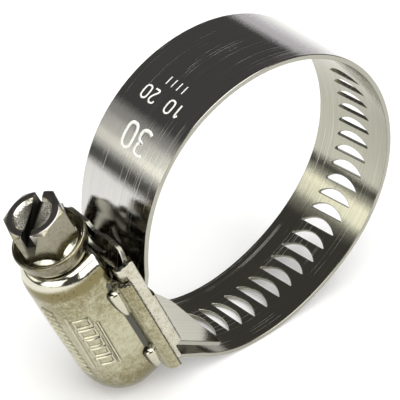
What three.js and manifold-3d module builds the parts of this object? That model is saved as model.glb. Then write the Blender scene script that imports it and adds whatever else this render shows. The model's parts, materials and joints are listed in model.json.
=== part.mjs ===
// A worm-drive hose clamp, standing on edge: a slotted steel band bent into a ring, a pressed
// housing clinched over a saddle, and a worm screw whose thread runs in the slots of the band.
//
// Everything is built in the clamp's own frame, in millimetres: the hose axis is Y, X runs along
// the screw towards its head, and Z points outwards from the hose through the saddle, the two
// layers of band, the worm and the hood. The last lines stand the clamp on the ring and the hood.
import * as THREE from 'three';
import { mergeVertices } from 'three/addons/utils/BufferGeometryUtils.js';
import Module from 'manifold-3d';

const wasm = await Module();
wasm.setup();

// Band: one strip of stainless steel, drawn open to its largest hose.
const bandWidth = 16;
const bandThickness = 0.78;
const ringRadius = 25.1;
const slotPitch = 2.78;
const slotLength = 7.3;
const slotDepth = 1.6;
const tailLength = 3.6;
const tailCornerRadius = 2.6;
const tongueLength = 10.6;
const tongueCornerRadius = 4.6;
const bandBendRadius = 2.4;

// The sprung band is not a true circle: low waves, each a share of the ring's radius, which all
// crest near the place where the slotted strip leaves the housing. Angles run from X towards Z.
const ringWaves = [
  { waves: 2, heightShare: 0.0226, crest: 139.7 },
  { waves: 3, heightShare: 0.0210, crest: 129.4 },
  { waves: 4, heightShare: 0.0081, crest: 127.5 },
];
const ringStartAngle = 70;
const ringEndAngle = 126;
const slotRunEndAngle = -82.8;
const tailFall = 28;
const tongueFall = 37;

// Saddle: a channel folded round the two layers of band.
const saddleHeight = 22.65;
const saddleThickness = 0.8;
const saddleWallLength = 24;
const saddleWallShift = 1.7;
const saddleBaseLength = 12.2;
const saddleBaseShift = -1.5;
const saddleLipWidth = 1.5;
const saddleBendRadius = 0.5;
const saddleHeadTrim = 0.65;
const saddleTailTrim = 1.5;

// Housing: hood over the worm, with flanges curled down over the saddle.
const housingThickness = 0.9;
const flangeLength = 21.7;
const flangeShift = 0.2;
const flangeTipHeight = 25.05;
const flangeBendRadius = 1.4;
const hoodFootRadius = 0.95;
const hoodHeadReach = 4.95;
const hoodTailReach = 5.1;
const hoodShoulderLength = 8;
const hoodNeckShare = 0.88;
const hoodDomeLength = 8.5;
const hoodDomePower = 2.3;
const hoodMouthLip = 1.1;

// Gussets: four webs pressed up in the corners between hood and flange, each with a blunt end
// towards the head and a long taper towards the tail.
const gussetLength = 6.6;
const gussetHeight = 1.7;
const gussetWidth = 1;
const gussetShoulderShare = 0.55;
const gussetShift = 8;

// Screw: slotted hexagon head, dished collar, plain neck and a worm of one start.
const wormRadius = 5.15;
const wormRootRadius = 4.35;
const wormLength = 20.4;
const wormShift = 0.2;
const threadCrestWidth = 0.5;
const threadRootWidth = 0.95;
const threadSeatShare = 0.14;
const neckRadius = 3.3;
const collarRadius = 5.65;
const collarFootRadius = 5.05;
const collarThickness = 2.95;
const collarRimWidth = 0.75;
const collarDishDepth = 1.1;
const hexAcrossFlats = 8;
const hexHeight = 6.6;
const hexChamfer = 0.45;
const hexChamferHeight = 0.3;
const recessRadius = 2.8;
const recessDepth = 0.4;
const driverSlotWidth = 1.4;
const driverSlotDepth = 2.3;
const hexTurn = 44;
const driverSlotTurn = 128.6;

// Clearances between the pieces, and one overrun that carries every cut past its faces.
const layerClearance = 0.1;
const sideClearance = 0.2;
const threadClearance = 0.1;
const hoodClearance = 0.85;
const neckClearance = 0.25;
const collarClearance = 0.3;
const overrun = 1;

// Smoothness: the longest step along each kind of curve.
const ringStep = 5;
const bendStep = 15;
const roundSides = 36;
const threadSides = 24;
const hoodSides = 20;
const domeSteps = 9;
const shoulderSteps = 6;
const slotArcSteps = 8;

// Shares that only shape the meshes: how near two points weld, how far a sharp bend may widen
// a sheet's edge, where the dome's smallest arch stands, and how deep a joined piece is sunk.
const weldShare = 1e-5;
const sharpestLean = 0.5;
const domeTipShare = 0.35;
const sunkShare = 0.5;

const RAD = Math.PI / 180;

// Heights of the stack, from the hose outwards, each laid on the one before.
const saddleTop = saddleHeight + saddleThickness;
const plainLayer = saddleTop + layerClearance + bandThickness / 2;
const slottedLayer = plainLayer + bandThickness + layerClearance;
const slottedTop = slottedLayer + bandThickness / 2;
const lipUnderside = slottedTop + layerClearance;
const lipTop = lipUnderside + saddleThickness;
const flangeUnderside = lipTop + layerClearance;
const flangeLayer = flangeUnderside + housingThickness / 2;
const screwHeight = slottedTop + threadClearance + wormRootRadius;

// Half widths, from the band outwards.
const saddleWallInside = bandWidth / 2 + sideClearance;
const saddleWallCentre = saddleWallInside + saddleThickness / 2;
const flangeInside = saddleWallInside + saddleThickness + layerClearance;
const flangeCentre = flangeInside + housingThickness / 2;
const hoodInside = wormRadius + hoodClearance;
const hoodRadius = hoodInside + housingThickness;

// Places along the screw.
const flangeHead = flangeShift + flangeLength / 2;
const flangeTail = flangeShift - flangeLength / 2;
const hoodHead = flangeHead + hoodHeadReach;
const hoodTail = flangeTail - hoodTailReach;
const wormHead = wormShift + wormLength / 2;
const wormTail = wormShift - wormLength / 2;
const collarBottom = hoodHead + collarClearance;
const collarTop = collarBottom + collarThickness;
const hexTop = collarTop + hexHeight - collarDishDepth;

// Turns a closed geometry into a solid that can be cut and joined.
function solidOf(geometry) {
  const bare = geometry.index ? geometry : geometry.clone();
  bare.deleteAttribute('normal');
  bare.deleteAttribute('uv');
  const merged = mergeVertices(bare, overrun * weldShare);
  const vertProperties = new Float32Array(merged.attributes.position.array);
  const triVerts = new Uint32Array(merged.index.array);
  const solid = new wasm.Manifold(new wasm.Mesh({ numProp: 3, vertProperties, triVerts }));
  return solid;
}

// Turns a solid back into a geometry.
function geometryOf(solid) {
  const mesh = solid.getMesh();
  const geometry = new THREE.BufferGeometry();
  geometry.setAttribute('position', new THREE.BufferAttribute(mesh.vertProperties, mesh.numProp));
  geometry.setIndex(new THREE.BufferAttribute(mesh.triVerts, 1));
  geometry.computeVertexNormals();
  return geometry;
}

// A prism whose outline is given by points (x, z), between two places along the hose axis.
function prismAlongHose(points, yStart, yEnd) {
  const depth = yEnd - yStart;
  const geometry = new THREE.ExtrudeGeometry(new THREE.Shape(points), { depth, bevelEnabled: false });
  const frame = new THREE.Matrix4().makeBasis(
    new THREE.Vector3(1, 0, 0),
    new THREE.Vector3(0, 0, 1),
    new THREE.Vector3(0, -1, 0),
  );
  geometry.applyMatrix4(frame.setPosition(0, yEnd, 0));
  return geometry;
}

// A prism whose outline is given by points (y, z), between two places along the screw.
function prismAlongScrew(points, xStart, xEnd) {
  const depth = xEnd - xStart;
  const geometry = new THREE.ExtrudeGeometry(new THREE.Shape(points), { depth, bevelEnabled: false });
  const frame = new THREE.Matrix4().makeBasis(
    new THREE.Vector3(0, 1, 0),
    new THREE.Vector3(0, 0, 1),
    new THREE.Vector3(1, 0, 0),
  );
  geometry.applyMatrix4(frame.setPosition(xStart, 0, 0));
  return geometry;
}

// A turned body: its profile is given by points (radius, x) round the screw's axis.
function turnedOnScrew(points, sides) {
  const geometry = new THREE.LatheGeometry(points, sides);
  const frame = new THREE.Matrix4().makeBasis(
    new THREE.Vector3(0, 1, 0),
    new THREE.Vector3(1, 0, 0),
    new THREE.Vector3(0, 0, -1),
  );
  geometry.applyMatrix4(frame.setPosition(0, 0, screwHeight));
  return geometry;
}

// Bends a row of corner points: every corner becomes an arc of the given radius, which shrinks
// only where its two legs are too short to hold it.
function bentPath(corners, radius) {
  const path = [corners[0]];
  for (let i = 1; i < corners.length - 1; i += 1) {
    const here = corners[i];
    const back = corners[i - 1].clone().sub(here);
    const ahead = corners[i + 1].clone().sub(here);
    const legs = Math.min(back.length(), ahead.length()) / 2;
    back.normalize();
    ahead.normalize();
    const turn = Math.PI - Math.acos(THREE.MathUtils.clamp(back.dot(ahead), -1, 1));
    const reach = Math.min(radius * Math.tan(turn / 2), legs);
    const start = here.clone().addScaledVector(back, reach);
    const end = here.clone().addScaledVector(ahead, reach);
    const steps = Math.max(1, Math.ceil(turn / RAD / bendStep));
    const arc = new THREE.QuadraticBezierCurve(start, here, end);
    path.push(...arc.getPoints(steps));
  }
  path.push(corners[corners.length - 1]);
  return path;
}

// The closed outline of a sheet of even thickness whose middle follows a path.
function sheetOutline(path, thickness) {
  const left = [];
  const right = [];
  path.forEach((point, i) => {
    const before = path[Math.max(i - 1, 0)];
    const after = path[Math.min(i + 1, path.length - 1)];
    const into = point.clone().sub(before).normalize();
    const out = after.clone().sub(point).normalize();
    const along = into.add(out).normalize();
    const square = new THREE.Vector2(-along.y, along.x);
    const leg = after.clone().sub(before).normalize();
    const lean = i > 0 && i < path.length - 1 ? Math.max(Math.abs(along.dot(leg)), sharpestLean) : 1;
    left.push(point.clone().addScaledVector(square, thickness / 2 / lean));
    right.push(point.clone().addScaledVector(square, -thickness / 2 / lean));
  });
  return left.concat(right.reverse());
}

// Middle of the band's thickness at an angle round the ring.
function ringPoint(angle) {
  const middle = ringRadius - bandThickness / 2;
  const swell = ringWaves.reduce(
    (sum, w) => sum + w.heightShare * Math.cos(w.waves * (angle - w.crest) * RAD),
    0,
  );
  const radius = middle + ringRadius * swell;
  return new THREE.Vector2(radius * Math.cos(angle * RAD), radius * Math.sin(angle * RAD));
}

function fallingPoint(from, heading, fall, length) {
  return new THREE.Vector2(
    from.x + heading * length * Math.cos(fall * RAD),
    from.y - length * Math.sin(fall * RAD),
  );
}

// The band's route: tail, slotted layer through the housing, once round the ring against the
// clock as seen along Y, plain layer over the saddle's base, and the tongue under the ring.
function bandRoute() {
  const tailBend = new THREE.Vector2(flangeHead + bandThickness / 2, slottedLayer);
  const exitBend = new THREE.Vector2(flangeTail - bandThickness / 4, slottedLayer);
  const entryBend = new THREE.Vector2(saddleBaseShift + saddleBaseLength / 2 + bandThickness / 2, plainLayer);
  const tongueBend = new THREE.Vector2(saddleBaseShift - saddleBaseLength / 2 - bandThickness / 2, plainLayer);
  const ring = [];
  const sweep = 360 + ringStartAngle - ringEndAngle;
  const steps = Math.round(sweep / ringStep);
  for (let i = 0; i <= steps; i += 1) {
    ring.push(ringPoint(ringEndAngle + (sweep * i) / steps));
  }
  const corners = [
    fallingPoint(tailBend, 1, tailFall, tailLength),
    tailBend,
    exitBend,
    ...ring,
    entryBend,
    tongueBend,
    fallingPoint(tongueBend, -1, tongueFall, tongueLength),
  ];
  return bentPath(corners, bandBendRadius);
}

const bandPath = bandRoute();

// Running length of the band from the tip of its tail to each point of its route.
const bandRun = [0];
bandPath.slice(1).forEach((point, i) => bandRun.push(bandRun[i] + point.distanceTo(bandPath[i])));
const bandLength = bandRun[bandRun.length - 1];

// Place and heading of the band at a running length.
function bandAt(run) {
  let i = bandRun.findIndex((length) => length > run);
  i = i < 1 ? (run <= 0 ? 1 : bandRun.length - 1) : i;
  const heading = bandPath[i].clone().sub(bandPath[i - 1]).normalize();
  const point = bandPath[i - 1].clone().addScaledVector(heading, run - bandRun[i - 1]);
  return { point, heading };
}

// Running length at which the route comes nearest to a place.
function runNear(place) {
  const nearest = { gap: Infinity, run: 0 };
  bandPath.slice(1).forEach((end, i) => {
    const leg = end.clone().sub(bandPath[i]);
    const along = THREE.MathUtils.clamp(place.clone().sub(bandPath[i]).dot(leg) / leg.lengthSq(), 0, 1);
    const gap = bandPath[i].clone().addScaledVector(leg, along).distanceTo(place);
    if (gap < nearest.gap) {
      nearest.gap = gap;
      nearest.run = bandRun[i] + along * leg.length();
    }
  });
  return nearest.run;
}

// A prism that stands through the band at a running length: its outline is given by points
// (ahead along the band, along the hose axis), and it ends half way to the next layer.
function cutterAt(run, points) {
  const { point, heading } = bandAt(run);
  const depth = bandThickness + layerClearance;
  const geometry = new THREE.ExtrudeGeometry(new THREE.Shape(points), { depth, bevelEnabled: false });
  const ahead = new THREE.Vector3(heading.x, 0, heading.y);
  const across = new THREE.Vector3(0, 1, 0);
  const through = new THREE.Vector3().crossVectors(ahead, across);
  const start = new THREE.Vector3(point.x, 0, point.y).addScaledVector(through, -depth / 2);
  geometry.applyMatrix4(new THREE.Matrix4().makeBasis(ahead, across, through).setPosition(start));
  return solidOf(geometry);
}

// The worm's lead angle, at which every slot slants.
const leadAngle = Math.atan(slotPitch / (Math.PI * (wormRadius + wormRootRadius)));

// A D-shaped slot: a straight edge that the thread pushes on, and an arc behind it.
function slotOutline() {
  const half = slotLength / 2;
  const arcRadius = (half * half + slotDepth * slotDepth) / (2 * slotDepth);
  const spread = Math.asin(half / arcRadius);
  const points = [];
  for (let i = 0; i <= slotArcSteps; i += 1) {
    const angle = spread - (2 * spread * i) / slotArcSteps;
    const ahead = arcRadius * Math.cos(angle) - arcRadius + slotDepth / 2;
    const across = arcRadius * Math.sin(angle);
    points.push(new THREE.Vector2(ahead, across));
  }
  return points.reverse().map((p) => p.rotateAround(new THREE.Vector2(), leadAngle));
}

// Square corner of an end of the band, outside a round of the given radius.
function cornerOutline(radius, side, heading) {
  const half = bandWidth / 2;
  const points = [];
  for (let angle = 0; angle <= 90; angle += bendStep) {
    points.push(new THREE.Vector2(
      heading * (radius * Math.sin(angle * RAD) - radius),
      side * (half - radius + radius * Math.cos(angle * RAD)),
    ));
  }
  points.push(new THREE.Vector2(heading * overrun, side * (half - radius)));
  points.push(new THREE.Vector2(heading * overrun, side * (half + overrun)));
  points.push(new THREE.Vector2(-heading * radius, side * (half + overrun)));
  return THREE.ShapeUtils.isClockWise(points) ? points.reverse() : points;
}

// Running lengths of the slots: an even row from the ring down to the tip of the tail.
const slotRuns = [];
for (let run = runNear(ringPoint(slotRunEndAngle)); run > -slotDepth; run -= slotPitch) {
  slotRuns.push(run);
}

function makeBand() {
  const strip = prismAlongHose(sheetOutline(bandPath, bandThickness), -bandWidth / 2, bandWidth / 2);
  const cuts = slotRuns.map((run) => cutterAt(run, slotOutline()));
  cuts.push(cutterAt(0, cornerOutline(tailCornerRadius, 1, -1)));
  cuts.push(cutterAt(0, cornerOutline(tailCornerRadius, -1, -1)));
  cuts.push(cutterAt(bandLength, cornerOutline(tongueCornerRadius, 1, 1)));
  return geometryOf(cuts.reduce((band, cut) => band.subtract(cut), solidOf(strip)));
}

// The slot nearest the middle of the housing sets the phase of the thread, which bears on the
// straight edge of the slots, on the side of the head.
const meshingRun = slotRuns.reduce((best, run) => {
  const off = (r) => Math.abs(bandAt(r).point.x - wormShift) + Math.abs(bandAt(r).point.y - slottedLayer);
  return off(run) < off(best) ? run : best;
});
const meshingPlace = bandAt(meshingRun).point.x + threadSeatShare * slotDepth;

function mirrored(points) {
  return points.map((p) => new THREE.Vector2(-p.x, p.y)).reverse();
}

function makeSaddle() {
  const wallHead = saddleWallShift + saddleWallLength / 2;
  const wallTail = saddleWallShift - saddleWallLength / 2;
  const baseHead = saddleBaseShift + saddleBaseLength / 2;
  const baseTail = saddleBaseShift - saddleBaseLength / 2;
  const baseLayer = saddleHeight + saddleThickness / 2;
  const lipLayer = lipUnderside + saddleThickness / 2;
  const lipEdge = saddleWallCentre + saddleThickness / 2 - saddleLipWidth;
  const corners = [
    new THREE.Vector2(0, baseLayer),
    new THREE.Vector2(saddleWallCentre, baseLayer),
    new THREE.Vector2(saddleWallCentre, lipLayer),
    new THREE.Vector2(lipEdge, lipLayer),
  ];
  const half = sheetOutline(bentPath(corners, saddleBendRadius), saddleThickness);
  const right = solidOf(prismAlongScrew(half, wallTail, wallHead));
  const left = solidOf(prismAlongScrew(mirrored(half), wallTail, wallHead));
  const opened = right.add(left);
  const ends = [
    [baseHead, wallHead + overrun, saddleHeadTrim],
    [wallTail - overrun, baseTail, saddleTailTrim],
  ];
  return geometryOf(ends.reduce((channel, [xStart, xEnd, trim]) => {
    const box = (top) => [
      new THREE.Vector2(xStart, saddleHeight - overrun),
      new THREE.Vector2(xEnd, saddleHeight - overrun),
      new THREE.Vector2(xEnd, top),
      new THREE.Vector2(xStart, top),
    ];
    const past = flangeCentre + overrun;
    const wallCut = prismAlongHose(box(saddleHeight + trim), -past, past);
    const baseCut = prismAlongHose(box(plainLayer), -saddleWallInside, saddleWallInside);
    return channel.subtract(solidOf(wallCut)).subtract(solidOf(baseCut));
  }, opened));
}

// Outline of the hood across the screw: an arch of the given radius on straight legs.
function archPoints(radius, legFoot, sides) {
  const points = [new THREE.Vector2(radius, legFoot)];
  for (let i = 0; i <= sides; i += 1) {
    const angle = (Math.PI * i) / sides;
    points.push(new THREE.Vector2(radius * Math.cos(angle), screwHeight + radius * Math.sin(angle)));
  }
  points.push(new THREE.Vector2(-radius, legFoot));
  return points;
}

// A closed body through rings of points (x, y, z), all wound alike about its run and with the
// same count, with a flat fan over each end.
function loftSolid(rings) {
  const count = rings[0].length;
  const index = [];
  for (let i = 0; i < rings.length - 1; i += 1) {
    for (let j = 0; j < count; j += 1) {
      const a = i * count + j;
      const b = i * count + ((j + 1) % count);
      index.push(a, b, a + count, b, b + count, a + count);
    }
  }
  const last = (rings.length - 1) * count;
  for (let j = 1; j < count - 1; j += 1) {
    index.push(0, j + 1, j);
    index.push(last, last + j, last + j + 1);
  }
  const geometry = new THREE.BufferGeometry();
  geometry.setAttribute('position', new THREE.Float32BufferAttribute(rings.flat(2), 3));
  geometry.setIndex(index);
  return solidOf(geometry);
}

// A loft through arches along the screw, each given as { x, radius, foot }.
function archLoft(stations) {
  return loftSolid(stations.map((s) => archPoints(s.radius, s.foot, hoodSides).map((p) => [s.x, p.x, p.y])));
}

// Radius of the hood at a place along the screw: a neck under the collar swells to the full
// hood, which closes at its far end in a dome.
function hoodProfile(x, fullRadius, tail) {
  const shoulder = THREE.MathUtils.clamp((hoodHead - x) / hoodShoulderLength, 0, 1);
  const swell = hoodNeckShare + (1 - hoodNeckShare) * Math.sin((shoulder * Math.PI) / 2);
  const dome = THREE.MathUtils.clamp((tail + hoodDomeLength - x) / hoodDomeLength, 0, 1);
  return fullRadius * swell * (1 - dome ** hoodDomePower) ** (1 / hoodDomePower);
}

function hoodStations(fullRadius, tail, foot) {
  const places = [];
  for (let i = 0; i < domeSteps; i += 1) {
    places.push(tail + hoodDomeLength * (1 - Math.cos((Math.PI / 2) * ((i + domeTipShare) / domeSteps))));
  }
  for (let i = 0; i <= shoulderSteps; i += 1) {
    places.push(hoodHead - hoodShoulderLength + (hoodShoulderLength * i) / shoulderSteps);
  }
  return places.map((x) => ({ x, radius: hoodProfile(x, fullRadius, tail), foot }));
}

// A gusset whose blunt end stands at a place along the screw, on the side +1 or -1. Its foot is
// sunk into the hood and the flange.
function gussetSolid(head, side) {
  const wall = hoodRadius;
  const floor = flangeUnderside + housingThickness;
  const section = (size) => {
    const inside = wall - housingThickness * sunkShare;
    const foot = floor - housingThickness * sunkShare;
    return [
      [inside, foot],
      [wall + gussetWidth * size, foot],
      [wall + gussetWidth * size * gussetShoulderShare, floor + gussetHeight * size * gussetShoulderShare],
      [inside, floor + gussetHeight * size],
    ];
  };
  const ringAt = (x, size) => {
    const ring = section(size).map(([y, z]) => [x, side * y, z]);
    return side > 0 ? ring : ring.reverse();
  };
  return loftSolid([ringAt(head - gussetLength, 0), ringAt(head - gussetLength / 2, 1), ringAt(head, 1)]);
}

function makeHousing() {
  const outer = archLoft(hoodStations(hoodRadius, hoodTail, flangeLayer));
  const innerStations = hoodStations(hoodInside, hoodTail + housingThickness, flangeLayer - overrun);
  const mouthStart = hoodHead - hoodMouthLip;
  const inner = archLoft(innerStations.filter((s) => s.x < mouthStart).concat([
    { x: mouthStart, radius: hoodProfile(mouthStart, hoodInside, hoodTail), foot: flangeLayer - overrun },
  ]));
  const mouthRadius = neckRadius + neckClearance;
  const mouth = archLoft([
    { x: mouthStart - overrun, radius: mouthRadius, foot: flangeLayer - overrun },
    { x: hoodHead + overrun, radius: mouthRadius, foot: flangeLayer - overrun },
  ]);
  const hood = outer.subtract(inner).subtract(mouth);
  const corners = [
    new THREE.Vector2(hoodRadius - housingThickness / 2, screwHeight),
    new THREE.Vector2(hoodRadius - housingThickness / 2, flangeLayer),
    new THREE.Vector2(flangeCentre, flangeLayer),
    new THREE.Vector2(flangeCentre, flangeTipHeight),
  ];
  const start = bentPath(corners.slice(0, 3), hoodFootRadius).slice(0, -1);
  const end = bentPath(corners.slice(1), flangeBendRadius).slice(1);
  const half = sheetOutline(start.concat(end), housingThickness);
  const right = solidOf(prismAlongScrew(half, flangeTail, flangeHead));
  const left = solidOf(prismAlongScrew(mirrored(half), flangeTail, flangeHead));
  const gussets = [flangeShift + gussetShift + gussetLength / 2, flangeShift - gussetShift + gussetLength / 2]
    .flatMap((head) => [gussetSolid(head, 1), gussetSolid(head, -1)]);
  return geometryOf([right, left, ...gussets].reduce((housing, piece) => housing.add(piece), hood));
}

// The thread: one ridge swept along a helix and sunk a little into the root of the worm.
function threadSolid() {
  const turns = (wormLength - threadRootWidth) / slotPitch;
  const steps = Math.round(turns * threadSides);
  const sunk = (wormRadius - wormRootRadius) * sunkShare;
  const section = [
    [-threadRootWidth / 2, wormRootRadius - sunk],
    [threadRootWidth / 2, wormRootRadius - sunk],
    [threadRootWidth / 2, wormRootRadius],
    [threadCrestWidth / 2, wormRadius],
    [-threadCrestWidth / 2, wormRadius],
    [-threadRootWidth / 2, wormRootRadius],
  ];
  const first = wormTail + threadRootWidth / 2;
  const phase = ((first - meshingPlace) / slotPitch) * 2 * Math.PI - Math.PI / 2;
  const rings = [];
  for (let i = 0; i <= steps; i += 1) {
    const angle = phase + (2 * Math.PI * turns * i) / steps;
    const x = first + (slotPitch * turns * i) / steps;
    rings.push(section.map(([along, radius]) => [
      x + along,
      radius * Math.cos(angle),
      screwHeight + radius * Math.sin(angle),
    ]));
  }
  return loftSolid(rings);
}

function hexagonOutline() {
  const cornerRadius = hexAcrossFlats / Math.sqrt(3);
  const points = [];
  for (let i = 0; i < 6; i += 1) {
    const angle = (hexTurn + 60 * i) * RAD;
    points.push(new THREE.Vector2(
      cornerRadius * Math.cos(angle),
      screwHeight + cornerRadius * Math.sin(angle),
    ));
  }
  return points;
}

function makeScrew() {
  const dishInside = collarRadius - collarRimWidth;
  const dishFloor = collarTop - collarDishDepth;
  const core = solidOf(turnedOnScrew([
    new THREE.Vector2(0, wormTail),
    new THREE.Vector2(wormRootRadius, wormTail),
    new THREE.Vector2(wormRootRadius, wormHead),
    new THREE.Vector2(neckRadius, wormHead),
    new THREE.Vector2(neckRadius, collarBottom),
    new THREE.Vector2(collarFootRadius, collarBottom),
    new THREE.Vector2(collarRadius, collarTop),
    new THREE.Vector2(dishInside, collarTop),
    new THREE.Vector2(dishInside, dishFloor),
    new THREE.Vector2(0, dishFloor),
  ], roundSides));
  const hexagon = solidOf(prismAlongScrew(hexagonOutline(), dishFloor - overrun, hexTop));
  const cornerRadius = hexAcrossFlats / Math.sqrt(3);
  const chamfer = solidOf(turnedOnScrew([
    new THREE.Vector2(0, dishFloor - 2 * overrun),
    new THREE.Vector2(cornerRadius + overrun, dishFloor - 2 * overrun),
    new THREE.Vector2(cornerRadius + overrun, hexTop - hexChamfer),
    new THREE.Vector2(hexAcrossFlats / 2, hexTop - hexChamferHeight),
    new THREE.Vector2(hexAcrossFlats / 2 - hexChamfer, hexTop),
    new THREE.Vector2(0, hexTop),
  ], roundSides));
  const recess = solidOf(turnedOnScrew([
    new THREE.Vector2(0, hexTop - recessDepth),
    new THREE.Vector2(recessRadius, hexTop - recessDepth),
    new THREE.Vector2(recessRadius, hexTop + overrun),
    new THREE.Vector2(0, hexTop + overrun),
  ], roundSides));
  const slotBox = new THREE.BoxGeometry(driverSlotDepth + overrun, 2 * collarRadius, driverSlotWidth);
  slotBox.rotateX(driverSlotTurn * RAD);
  slotBox.translate(hexTop + (overrun - driverSlotDepth) / 2, 0, screwHeight);
  const head = hexagon.intersect(chamfer).subtract(recess).subtract(solidOf(slotBox));
  return geometryOf(core.add(head).add(threadSolid()));
}

function steel(colour, roughness) {
  return new THREE.MeshStandardMaterial({ color: colour, roughness, metalness: 1 });
}

const band = new THREE.Mesh(makeBand(), steel(0xb9b8b4, 0.3));
band.name = 'band';
const saddle = new THREE.Mesh(makeSaddle(), steel(0xcbc7bb, 0.4));
saddle.name = 'saddle';
const housing = new THREE.Mesh(makeHousing(), steel(0xbdb999, 0.35));
housing.name = 'housing';
const screw = new THREE.Mesh(makeScrew(), steel(0x9f9c8c, 0.4));
screw.name = 'screw';

const clamp = new THREE.Group();
clamp.add(band, saddle, housing, screw);

// Turn that stands the clamp on edge with the screw's head up. The lowest edge of the whole
// outline, from the hood to the ring, is then laid level on z = 0.
const uprightTurn = -110 * RAD;
clamp.rotation.y = uprightTurn;

function outlinePoints() {
  clamp.updateMatrixWorld(true);
  const points = [];
  clamp.children.forEach((mesh) => {
    const place = mesh.geometry.attributes.position;
    for (let i = 0; i < place.count; i += 1) {
      points.push(new THREE.Vector3().fromBufferAttribute(place, i).applyMatrix4(mesh.matrixWorld));
    }
  });
  return points;
}

// Slope of the lower hull's edge that passes under a place along X.
function restSlope(points, under) {
  const sorted = points.slice().sort((a, b) => a.x - b.x || a.z - b.z);
  const hull = [];
  sorted.forEach((p) => {
    while (hull.length > 1) {
      const a = hull[hull.length - 2];
      const b = hull[hull.length - 1];
      if ((b.x - a.x) * (p.z - a.z) - (b.z - a.z) * (p.x - a.x) > 0) {
        break;
      }
      hull.pop();
    }
    hull.push(p);
  });
  const i = hull.findIndex((p) => p.x > under);
  return Math.atan2(hull[i].z - hull[i - 1].z, hull[i].x - hull[i - 1].x);
}

const balance = new THREE.Vector3(0, 0, screwHeight / 2).applyEuler(clamp.rotation).x;
clamp.rotation.y += restSlope(outlinePoints(), balance);

const standing = new THREE.Box3().setFromPoints(outlinePoints());
const middle = standing.getCenter(new THREE.Vector3());
clamp.position.set(-middle.x, -middle.y, -standing.min.z);

const part = new THREE.Group();
part.add(clamp);

export default part;
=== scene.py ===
# %% [markdown]
# # A worm-drive hose clamp, standing on edge
#
# A steel band bent into a ring, a saddle folded round both layers of it, a housing clinched over
# the saddle, and the screw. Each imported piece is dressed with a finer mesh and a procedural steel.

# %% Load the frame
import json
import math

import bpy
import numpy as np
from mathutils import Matrix, Vector
from mathutils.geometry import delaunay_2d_cdt


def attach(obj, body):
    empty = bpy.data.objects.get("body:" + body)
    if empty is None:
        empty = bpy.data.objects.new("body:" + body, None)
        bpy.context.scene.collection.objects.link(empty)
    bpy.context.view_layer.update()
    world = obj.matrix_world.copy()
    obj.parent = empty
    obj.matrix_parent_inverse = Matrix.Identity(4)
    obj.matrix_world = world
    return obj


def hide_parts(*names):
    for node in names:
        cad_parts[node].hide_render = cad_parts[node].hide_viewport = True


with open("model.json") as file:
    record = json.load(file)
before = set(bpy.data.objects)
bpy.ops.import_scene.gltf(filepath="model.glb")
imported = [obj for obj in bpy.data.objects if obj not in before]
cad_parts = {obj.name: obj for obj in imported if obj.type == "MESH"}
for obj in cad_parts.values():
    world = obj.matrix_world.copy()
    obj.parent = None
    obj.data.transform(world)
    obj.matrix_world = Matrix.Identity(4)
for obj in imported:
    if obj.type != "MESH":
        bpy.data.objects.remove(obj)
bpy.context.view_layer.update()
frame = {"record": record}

# %% [markdown]
# ## The clamp's own frame
#
# The clamp leans, but its forms are simple along the screw. So they are worked out in millimetres
# in its own frame: X along the screw towards its head, Y along the hose, Z outwards from the hose.
# The screw's joint gives the way back to the row frame.

# %% The way to the row frame, and the sizes that several pieces share
MM = 0.001
SCREW_HEIGHT, WORM_RADIUS, THREAD_RADIUS = 29.66, 4.35, 5.15
FLANGE_TAIL, FLANGE_HEAD = -10.65, 11.05
BASE_TAIL, BASE_HEAD, EDGE_ROLL = -7.6, 4.6, 0.14
joint = frame["record"]["behaviour"]["joints"][0]
X_WAY = np.array(joint["axis"]) / np.linalg.norm(joint["axis"])
Y_WAY = np.array([0.0, 1.0, 0.0])
Z_WAY = np.cross(X_WAY, Y_WAY)
WAYS = np.stack([X_WAY, Y_WAY, Z_WAY])
CENTRE = np.array(joint["pos_m"]) - SCREW_HEIGHT * MM * Z_WAY


def place(local):
    """Places in the clamp's frame, in mm, to the row frame: CENTRE + MM * local @ WAYS."""
    return CENTRE + MM * (np.asarray(local, float) @ WAYS)


def unit(v):
    """The same vectors with length one."""
    return v / np.maximum(np.linalg.norm(v, axis=-1, keepdims=True), 1e-12)


def right_of(way):
    """Ways in a plane, turned to the right."""
    return np.stack([way[:, 1], -way[:, 0]], -1)


def polar(radius, angle):
    """Places in a plane at these radii and angles."""
    return np.stack([radius * np.cos(angle), radius * np.sin(angle)], -1)


def ramp(x, start, length):
    """Rises from 0 at start to 1 over a length, which is negative for a fall."""
    return np.clip((x - start) / length, 0, 1)


def bell(x, middle, width):
    """exp(-((x - middle) / width)^2)."""
    return np.exp(-(((x - middle) / width) ** 2))


def at_x(x, ring):
    """A ring of places across the screw, at x along it."""
    return np.column_stack([np.full(len(ring), x), ring])


print("ring centre at", CENTRE.round(5), "screw axis", X_WAY.round(4))

# %% [markdown]
# ## Meshes from arrays
#
# Every surface is an array of points with arrays of faces on them, which is more exact than
# modifiers on primitives. Points that share a place are joined, so that seams and poles close.

# %% Objects, grids and closed bodies from numpy


def weld(points, faces):
    """Joins points that share a place. Returns the kept points' indices and the faces on them. A
    repeated corner, as at a pole, is dropped, and so is a face that is left with no area."""
    rounded = np.round(points, 5) + 0.0
    _, kept, now = np.unique(rounded, axis=0, return_index=True, return_inverse=True)
    out = []
    for f in (now.reshape(-1)[f] for f in faces):
        ranked = np.sort(f, axis=1)
        broken = (ranked[:, 1:] == ranked[:, :-1]).any(1)
        loops = [loop[loop != np.roll(loop, 1)] for loop in f[broken]]
        out += [f[~broken], *(loop[None] for loop in loops if len(set(loop)) == len(loop) > 2)]
    return kept, [f for f in out if len(f)]


def add_object(name, data):
    """A new object of the scene, round a mesh, a light or a camera."""
    made = bpy.data.objects.new(name, data)
    bpy.context.scene.collection.objects.link(made)
    return made


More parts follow.
